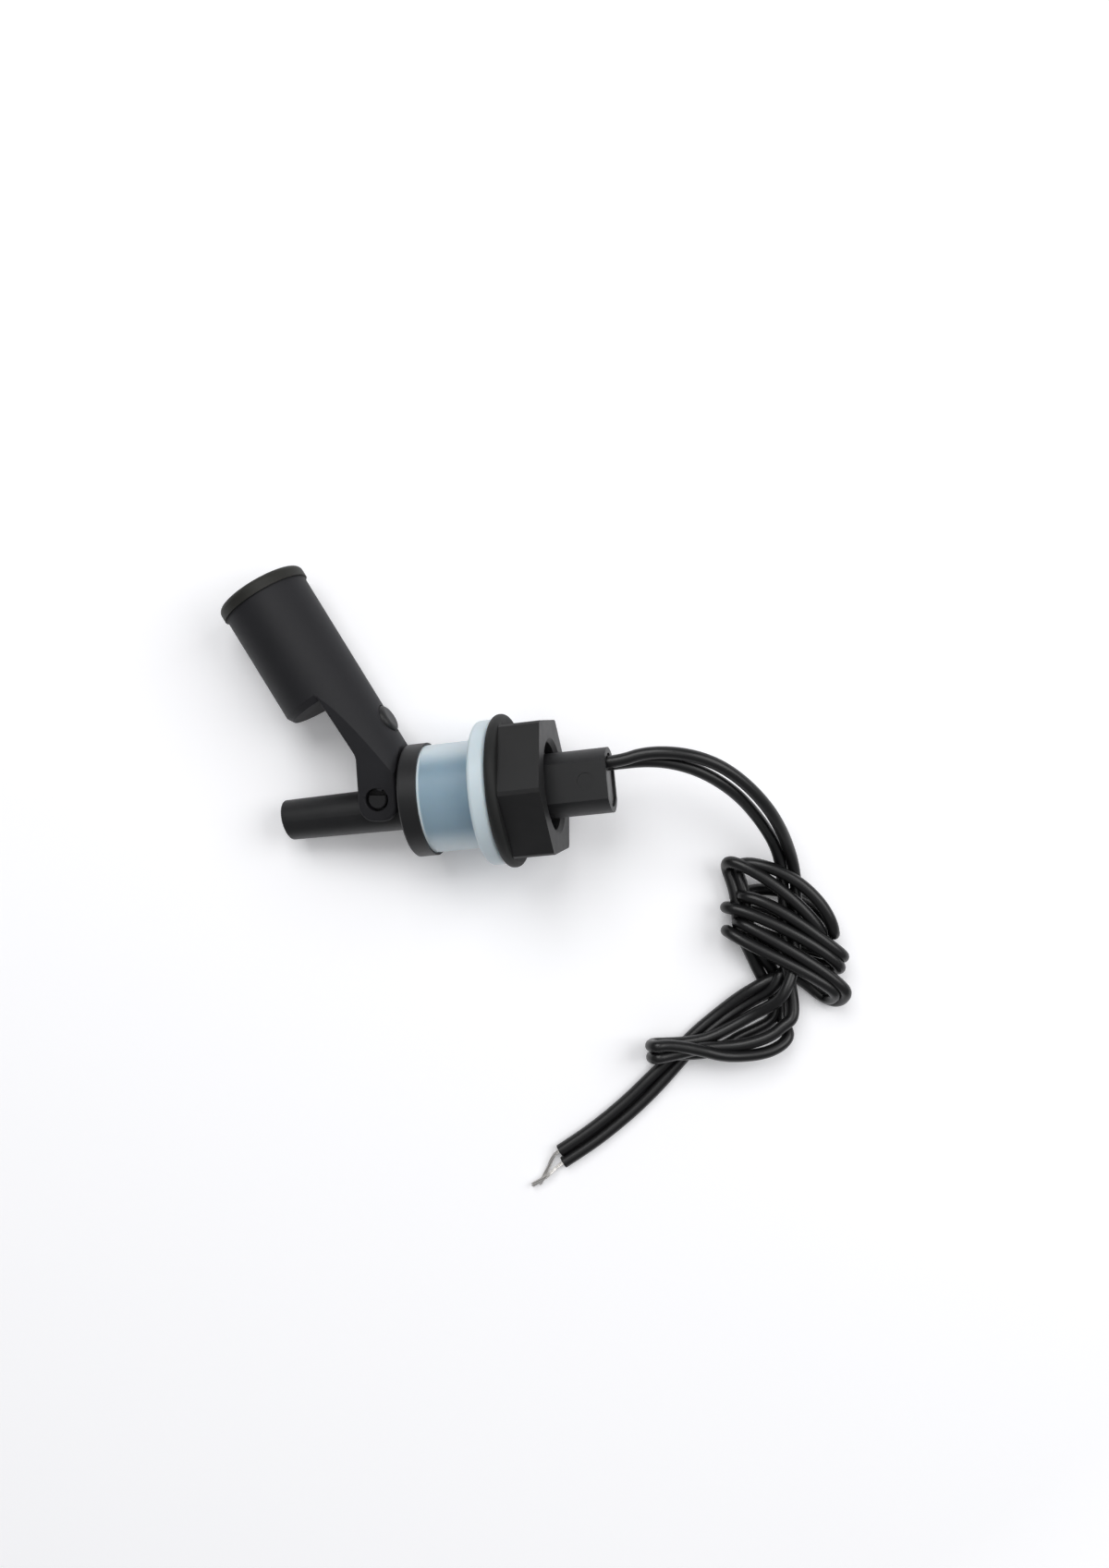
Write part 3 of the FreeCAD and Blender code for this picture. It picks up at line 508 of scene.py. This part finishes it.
@dataclass
class Lead:
    """One wire lead from the potting to its stripped end.

    Attributes:
        name: piece name.
        exit: point where the wire leaves the stem.
        run: points of the open run and of the stretch through the hank.
        loop: points of the loop below the hank and back up to the first turn.
        turns: turns round the hank.
        tail: points from the last turn to the end of the insulation.
        tip: points of the bare strands.
        replaced: CAD nodes that the wire stands for.
        tip_node: CAD node that the bare strands stand for.
        straight: straight stretch outside the potting.
    """

    name: str
    exit: Point
    run: list[Point]
    loop: list[Point]
    turns: list[Turn]
    tail: list[Point]
    tip: list[Point]
    replaced: tuple[str, ...]
    tip_node: str
    straight: float = 0.0024

    def route(self, stem: Stem) -> list[Vector]:
        """Whole route of the insulated wire.

        Args:
            stem: the stem's axes.

        Returns:
            List of points in the frame.
        """
        start = Vector(self.exit)
        points = [start, start + stem.axis * self.straight]
        points += [Vector(point) for point in self.run + self.loop]
        for turn, following in zip(self.turns, self.turns[1:]):
            points += turn_points(turn, following.left)
        points += turn_points(self.turns[-1], None)
        return points + [Vector(point) for point in self.tail]

    def build(self, stem: Stem, insulation: bpy.types.Material, metal: bpy.types.Material) -> None:
        """Make the wire and its bare strands.

        Args:
            stem: the stem's axes.
            insulation: material of the insulation.
            metal: material of the strands.
        """
        wire = spline_tube(self.name, self.route(stem), WIRE_DIAMETER / 2, insulation)
        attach(wire, "stem")
        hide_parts(*self.replaced)
        strands = self.strands(metal)

    def strands(self, metal: bpy.types.Material) -> bpy.types.Object:
        """Bare tinned strands at the wire's end, one loose bundle.

        Args:
            metal: material of the strands.

        Returns:
            The new curve object.
        """
        data = bpy.data.curves.new(self.name + "_strands", "CURVE")
        data.dimensions = "3D"
        data.bevel_depth = STRAND_DIAMETER / 2
        data.bevel_resolution = STRAND_ROUNDNESS
        data.use_fill_caps = True
        path = [Vector(self.tail[-1])] + [Vector(point) for point in self.tip]
        for index in range(STRAND_COUNT):
            turn = 2 * math.pi * index / (STRAND_COUNT - 1)
            radius = 0 if index == STRAND_COUNT - 1 else STRAND_DIAMETER
            spline = data.splines.new("NURBS")
            spline.points.add(len(path) - 1)
            for place, point in enumerate(path):
                angle = turn + place * STRAND_TWIST
                spread = radius * (1 + STRAND_SPLAY * place)
                outwards = Vector((math.cos(angle), -math.sin(angle), math.sin(angle)))
                offset = outwards * spread * STRAND_SPREAD
                spline.points[place].co = (*(point + offset), 1)
            spline.order_u = SPLINE_ORDER
            spline.use_endpoint_u = True
            spline.resolution_u = STRAND_STEPS
        piece = bpy.data.objects.new(self.name + "_strands", data)
        bpy.context.collection.objects.link(piece)
        data.materials.append(metal)
        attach(piece, "stem")
        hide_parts(self.tip_node)
        return piece


def spline_tube(name: str, points: list[Vector], radius: float,
                material: bpy.types.Material) -> bpy.types.Object:
    """Round tube along one smooth spline.

    Args:
        name: piece name.
        points: control points.
        radius: tube radius.
        material: its material.

    Returns:
        The new curve object.
    """
    data = bpy.data.curves.new(name, "CURVE")
    data.dimensions = "3D"
    data.bevel_depth = radius
    data.bevel_resolution = WIRE_ROUNDNESS
    data.use_fill_caps = True
    spline = data.splines.new("NURBS")
    spline.points.add(len(points) - 1)
    for place, point in zip(spline.points, points):
        place.co = (*point, 1)
    spline.order_u = SPLINE_ORDER
    spline.use_endpoint_u = True
    spline.resolution_u = WIRE_STEPS
    piece = bpy.data.objects.new(name, data)
    bpy.context.collection.objects.link(piece)
    data.materials.append(material)
    return piece


LEAD_A = Lead(
    name="lead_a",
    exit=(0.033417, -0.012675, 0.019241),
    run=[
        (0.0397, -0.0118, 0.0202),
        (0.0445, -0.0121, 0.0206),
        (0.0494, -0.0134, 0.0202),
        (0.0540, -0.0158, 0.0190),
        (0.0582, -0.0195, 0.0171),
        (0.0618, -0.0240, 0.0146),
        (0.0642, -0.0282, 0.0113),
        (0.0658, -0.0319, 0.0079),
        (0.0668, -0.0355, 0.0056),
        (0.0670, -0.0398, 0.0049),
        (0.0665, -0.0438, 0.0049),
        (0.0659, -0.0484, 0.0049),
        (0.0653, -0.0527, 0.0053),
    ],
    loop=[
        (0.0643, -0.0560, 0.0061),
        (0.0629, -0.0584, 0.0068),
        (0.0615, -0.0604, 0.0066),
        (0.0594, -0.0618, 0.0054),
        (0.0567, -0.0630, 0.0042),
        (0.0526, -0.0649, 0.0037),
        (0.0478, -0.0668, 0.0036),
        (0.0437, -0.0672, 0.0036),
        (0.0392, -0.0670, 0.0034),
        (0.0371, -0.0669, 0.0028),
        (0.0362, -0.0668, 0.0050),
        (0.0371, -0.0667, 0.0072),
        (0.0392, -0.0667, 0.0066),
        (0.0425, -0.0674, 0.0066),
        (0.0458, -0.0684, 0.0068),
        (0.0492, -0.0698, 0.0063),
        (0.0528, -0.0705, 0.0056),
        (0.0578, -0.0706, 0.0050),
        (0.0614, -0.0695, 0.0042),
        (0.0631, -0.0678, 0.0032),
        (0.0621, -0.0656, 0.0018),
        (0.0626, -0.0627, 0.0012),
        (0.0624, -0.0593, 0.0012),
        (0.0615, -0.0555, 0.0012),
        (0.0597, -0.0528, 0.0022),
        (0.0575, -0.0492, 0.0035),
        (0.0573, -0.0442, 0.0036),
        (0.0572, -0.0393, 0.0040),
        (0.0564, -0.0357, 0.0030),
    ],
    turns=[
        Turn((0.0562, -0.0344), (0.0729, -0.0502), 0.0044, peak=1.4, back_bow=0.0047),
        Turn((0.0560, -0.0408), (0.0747, -0.0542), 0.0016, lean=0.3, back_bow=-0.0008),
        Turn((0.0551, -0.0453), (0.0744, -0.0614), 0.0013, lean=-0.2),
    ],
    tail=[
        (0.0730, -0.0630, 0.0022),
        (0.0701, -0.0616, 0.0013),
        (0.0675, -0.0588, 0.0013),
        (0.0647, -0.0566, 0.0022),
        (0.0614, -0.0566, 0.0030),
        (0.0580, -0.0580, 0.0032),
        (0.0546, -0.0597, 0.0023),
        (0.0501, -0.0627, 0.0013),
        (0.0447, -0.0663, 0.0012),
        (0.0405, -0.0701, 0.00115),
        (0.0358, -0.0736, 0.0012),
        (0.0313, -0.0772, 0.00115),
        (0.02685, -0.08025, 0.00115),
        (0.02205, -0.08318, 0.0012),
        (0.01695, -0.08578, 0.00115),
    ],
    tip=[(0.0158, -0.08628, 0.0011), (0.0145, -0.0889, 0.0008), (0.0126, -0.0917, 0.00055)],
    replaced=("lead_a_run", "lead_hank", "lead_a_tail"),
    tip_node="lead_tip_a",
)

LEAD_B = Lead(
    name="lead_b",
    exit=(0.033953, -0.013059, 0.016656),
    run=[
        (0.0401, -0.0131, 0.0179),
        (0.0443, -0.0138, 0.0186),
        (0.0486, -0.0154, 0.0186),
        (0.0526, -0.0178, 0.0175),
        (0.0565, -0.0211, 0.0153),
        (0.0598, -0.0251, 0.0121),
        (0.0625, -0.0293, 0.0087),
        (0.0640, -0.0326, 0.0062),
        (0.0646, -0.0361, 0.0050),
        (0.0645, -0.0400, 0.0049),
        (0.0643, -0.0436, 0.0049),
        (0.0639, -0.0475, 0.0049),
        (0.0635, -0.0518, 0.0049),
    ],
    loop=[
        (0.0638, -0.0559, 0.0049),
        (0.0640, -0.0593, 0.0047),
        (0.0641, -0.0622, 0.0049),
        (0.0636, -0.0646, 0.0054),
        (0.0615, -0.0657, 0.0056),
        (0.0597, -0.0670, 0.0056),
        (0.0566, -0.0680, 0.0055),
        (0.0529, -0.0685, 0.0053),
        (0.0495, -0.0684, 0.0051),
        (0.0460, -0.0682, 0.0051),
        (0.0425, -0.0687, 0.0052),
        (0.0392, -0.0690, 0.0056),
        (0.0371, -0.0691, 0.0062),
        (0.0362, -0.0692, 0.0040),
        (0.0371, -0.0693, 0.0018),
        (0.0392, -0.0694, 0.0024),
        (0.0431, -0.0695, 0.0034),
        (0.0475, -0.0697, 0.0031),
        (0.0513, -0.0688, 0.0017),
        (0.0538, -0.0676, 0.0012),
        (0.0570, -0.0666, 0.0012),
        (0.0604, -0.0652, 0.0012),
        (0.0615, -0.0625, 0.0012),
        (0.0606, -0.0597, 0.0012),
        (0.0588, -0.0559, 0.0015),
        (0.0571, -0.0513, 0.0030),
        (0.0553, -0.0465, 0.0034),
        (0.0557, -0.0423, 0.0034),
        (0.0553, -0.0383, 0.0034),
        (0.0544, -0.0348, 0.0029),
    ],
    turns=[
        Turn((0.0541, -0.0336), (0.0708, -0.0502), 0.0024, peak=1.2, back_bow=0.0012),
        Turn((0.0530, -0.0425), (0.0737, -0.0564), 0.0020, back_bow=-0.0008),
        Turn((0.0529, -0.0465), (0.0724, -0.0613), 0.0006, lean=-0.8),
    ],
    tail=[
        (0.0711, -0.0624, 0.0022),
        (0.0691, -0.0602, 0.0013),
        (0.0669, -0.0576, 0.0014),
        (0.0648, -0.0553, 0.0026),
        (0.0625, -0.0558, 0.0039),
        (0.0614, -0.0579, 0.0039),
        (0.0598, -0.0594, 0.0033),
        (0.0575, -0.0605, 0.0023),
        (0.0536, -0.0625, 0.0014),
        (0.0496, -0.0649, 0.0012),
        (0.0458, -0.0675, 0.0012),
        (0.0415, -0.0715, 0.00115),
        (0.0372, -0.07545, 0.0012),
        (0.0327, -0.07905, 0.00115),
        (0.02795, -0.0823, 0.00115),
        (0.02285, -0.0854, 0.0012),
        (0.01745, -0.0881, 0.00115),
    ],
    tip=[(0.0162, -0.0887, 0.0012), (0.0140, -0.0904, 0.0017), (0.0112, -0.09175, 0.0010)],
    replaced=("lead_b_run", "lead_loop", "lead_b_tail"),
    tip_node="lead_tip_b",
)


# ---------------------------------------------------------------- studio
@dataclass(frozen=True)
class Lamp:
    """One square soft light.

    Attributes:
        name: light name.
        place: its position.
        size: edge length.
        power: power in watts.
    """

    name: str
    place: Point
    size: float
    power: float


LAMPS = (
    Lamp("key", (-0.10, 0.45, 0.70), 0.5, 3.2),
    Lamp("side", (0.55, 0.10, 0.55), 0.5, 2.6),
    Lamp("top", (0.05, 0.02, 0.85), 0.6, 0.8),
)


@dataclass
class Studio:
    """Pale floor, soft lights and the camera.

    Attributes:
        eye: camera position.
        turn: camera's turn about the line of sight, in degrees.
        lens: focal length in millimetres.
        sensor: long side of the camera's sensor in millimetres.
        near: distance at which the camera starts to see.
        aim: point that the lamps face.
        floor_size: edge length of the floor.
        paper_color: colour of the floor, linear.
        paper_roughness: its roughness.
        paper_specular: its specular level.
        paper_glow: glow of the floor near the object, where the lamps light it.
        far_glow: glow of the floor far away, where they don't.
        glow_reach: distances between which the one becomes the other, in metres.
        sky_color: colour of the light from all round, linear.
        sky_level: its strength.
        seen_sky: strength that the camera sees, which makes it white.
    """

    eye: Point = (0.02354, -0.01555, 0.2596)
    turn: float = -6.14
    lens: float = 30.85
    sensor: float = 36.0
    near: float = 0.01
    aim: Point = (0.02, -0.02, 0.0)
    floor_size: float = 4.0
    paper_color: Color = (0.98, 0.98, 1.0)
    paper_roughness: float = 0.9
    paper_specular: float = 0.1
    paper_glow: float = 0.12
    far_glow: float = 0.9
    glow_reach: Pair = (0.19, 0.6)
    sky_color: Color = (0.97, 0.98, 1.0)
    sky_level: float = 0.25
    seen_sky: float = 1.05

    def paper(self) -> bpy.types.Material:
        """Make the floor's material, which glows only where the camera sees it.

        Returns:
            The new material.
        """
        material = bpy.data.materials.new("floor_paper")
        material.use_nodes = True
        nodes = material.node_tree.nodes
        links = material.node_tree.links
        shader = nodes["Principled BSDF"]
        shader.inputs["Base Color"].default_value = (*self.paper_color, 1)
        shader.inputs["Roughness"].default_value = self.paper_roughness
        shader.inputs["Specular IOR Level"].default_value = self.paper_specular
        rays = nodes.new("ShaderNodeLightPath")
        seen = greater(nodes, links, rays.outputs["Is Camera Ray"], rays.outputs["Is Glossy Ray"])
        seen = greater(nodes, links, seen, rays.outputs["Is Transmission Ray"])
        place = nodes.new("ShaderNodeTexCoord")
        away = nodes.new("ShaderNodeVectorMath")
        away.operation = "LENGTH"
        links.new(place.outputs["Object"], away.inputs[0])
        level = nodes.new("ShaderNodeMapRange")
        level.inputs["From Min"].default_value = self.glow_reach[0]
        level.inputs["From Max"].default_value = self.glow_reach[1]
        level.inputs["To Min"].default_value = self.paper_glow
        level.inputs["To Max"].default_value = self.far_glow
        links.new(away.outputs["Value"], level.inputs["Value"])
        glow = nodes.new("ShaderNodeMath")
        glow.operation = "MULTIPLY"
        links.new(seen, glow.inputs[0])
        links.new(level.outputs["Result"], glow.inputs[1])
        shader.inputs["Emission Color"].default_value = (1, 1, 1, 1)
        links.new(glow.outputs["Value"], shader.inputs["Emission Strength"])
        return material

    def floor(self) -> None:
        """Large pale floor that the camera sees as near white."""
        bpy.ops.mesh.primitive_plane_add(size=self.floor_size, location=(0, 0, 0))
        floor = bpy.context.object
        floor.name = "floor"
        floor.data.materials.append(self.paper())

    def light(self, lamp: Lamp) -> None:
        """Add one lamp, turned to the point that all lamps face.

        Args:
            lamp: the lamp.
        """
        data = bpy.data.lights.new(lamp.name, "AREA")
        data.shape = "SQUARE"
        data.size = lamp.size
        data.energy = lamp.power
        holder = bpy.data.objects.new(lamp.name, data)
        holder.location = lamp.place
        holder.rotation_euler = (Vector(self.aim) - Vector(lamp.place)).to_track_quat("-Z", "Y").to_euler()
        bpy.context.collection.objects.link(holder)

    def sky(self) -> None:
        """Even light from all round, which the camera sees as white."""
        world = bpy.data.worlds.new("studio")
        world.use_nodes = True
        nodes = world.node_tree.nodes
        links = world.node_tree.links
        sky = nodes["Background"]
        sky.inputs["Color"].default_value = (*self.sky_color, 1)
        rays = nodes.new("ShaderNodeLightPath")
        level = nodes.new("ShaderNodeMapRange")
        level.inputs["To Min"].default_value = self.sky_level
        level.inputs["To Max"].default_value = self.seen_sky
        links.new(rays.outputs["Is Camera Ray"], level.inputs["Value"])
        links.new(level.outputs["Result"], sky.inputs["Strength"])
        bpy.context.scene.world = world

    def camera(self) -> None:
        """Camera straight above the switch, looking down."""
        data = bpy.data.cameras.new("camera")
        data.lens = self.lens
        data.sensor_width = self.sensor
        data.clip_start = self.near
        camera = bpy.data.objects.new("camera", data)
        camera.location = self.eye
        camera.rotation_euler = (0, 0, math.radians(self.turn))
        bpy.context.collection.objects.link(camera)
        bpy.context.scene.camera = camera

    def build(self) -> None:
        """Make floor, lights, world and camera."""
        self.floor()
        for lamp in LAMPS:
            self.light(lamp)
        self.sky()
        self.camera()
        bpy.context.scene.view_settings.view_transform = "Standard"
        LOG.info("studio: floor, %d lamps, sky and camera", len(LAMPS))


PLAIN_NODES = (
    (CAP_PLASTIC, ("float_cap",)),
    (NUT_PLASTIC, ("lock_nut",)),
    (WASHER_RUBBER, ("clamp_washer",)),
    (EPOXY, ("potting_plug",)),
    (REED_GLASS, ("reed_glass",)),
    (REED_METAL, ("reed_blade_front", "reed_blade_rear")),
    (SLEEVE, ("wire_sleeve_a", "wire_sleeve_b")),
    (MAGNET_METAL, ("magnet",)),
)


def main() -> None:
    """Dress the frame, lay the leads and set up the studio."""
    logging.basicConfig(level=logging.INFO, format="%(message)s")
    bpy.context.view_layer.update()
    stem = Stem.from_record(frame["record"])
    LOG.info("stem axis %s", tuple(round(value, 4) for value in stem.axis))
    housing_black = grained_material(HOUSING_PLASTIC)
    dress("stem_housing", housing_black)
    dress("magnet_cover", housing_black)
    float_black = grained_material(FLOAT_PLASTIC)
    dress("float_arm", float_black)
    ArmRoot().build(float_black)
    dress("grommet", CloudyElastomerWithPaintedLight(GROMMET).material(stem))
    for finish, nodes in PLAIN_NODES:
        material = grained_material(finish)
        for node in nodes:
            dress(node, material)
    insulation = grained_material(WIRE_PVC)
    dress("inner_wire_a", insulation)
    dress("inner_wire_b", insulation)
    metal = grained_material(TINNED)
    for lead in (LEAD_A, LEAD_B):
        lead.build(stem, insulation, metal)
    Studio().build()


if __name__ == "__main__":
    main()
